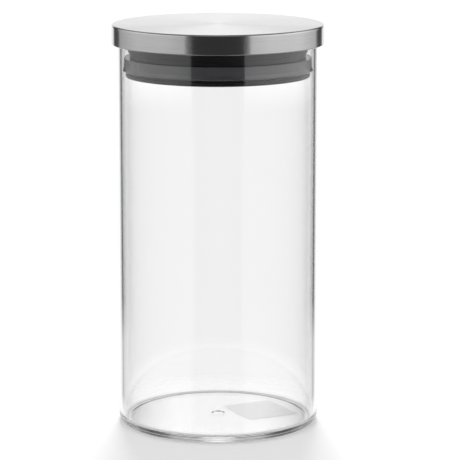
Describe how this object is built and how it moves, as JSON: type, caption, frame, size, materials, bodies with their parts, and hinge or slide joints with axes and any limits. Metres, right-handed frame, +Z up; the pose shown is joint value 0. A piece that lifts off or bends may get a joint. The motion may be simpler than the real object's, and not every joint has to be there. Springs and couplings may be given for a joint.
{
  "type": "lidded glass storage jar",
  "caption": "Straight round borosilicate storage jar with a push-in plug lid: brushed steel cap, black plug and silicone seal ring.",
  "frame": {"origin": "centre of the jar's foot, on the surface that it stands on", "axes": "+Z up along the jar's axis, out of its mouth; +X and +Y level, with the label under the base towards +X"},
  "size_m": [0.105, 0.105, 0.2006],
  "materials": {
    "clear_glass": "clear polished borosilicate glass",
    "label_film": "plain matt film",
    "brushed_steel": "brushed round the axis, top and skirt",
    "black_plastic": "satin black moulding",
    "grey_silicone": "satin dark grey silicone"
  },
  "bodies": {
    "jar": {"glass_jar": "clear_glass", "base_label": "label_film"},
    "seal": {"seal_ring": "grey_silicone"},
    "lid": {"lid_cap": "brushed_steel", "plug_body": "black_plastic", "plug_cover": "black_plastic"}
  },
  "joints": [
    {"name": "lid_lift", "type": "slide", "parent": "jar", "child": "seal", "axis": [0, 0, 1], "range_m": [0, 0.06]},
    {"name": "lid_turn", "type": "hinge", "parent": "seal", "child": "lid", "pos_m": [0, 0, 0.19], "axis": [0, 0, 1], "continuous": true}
  ]
}
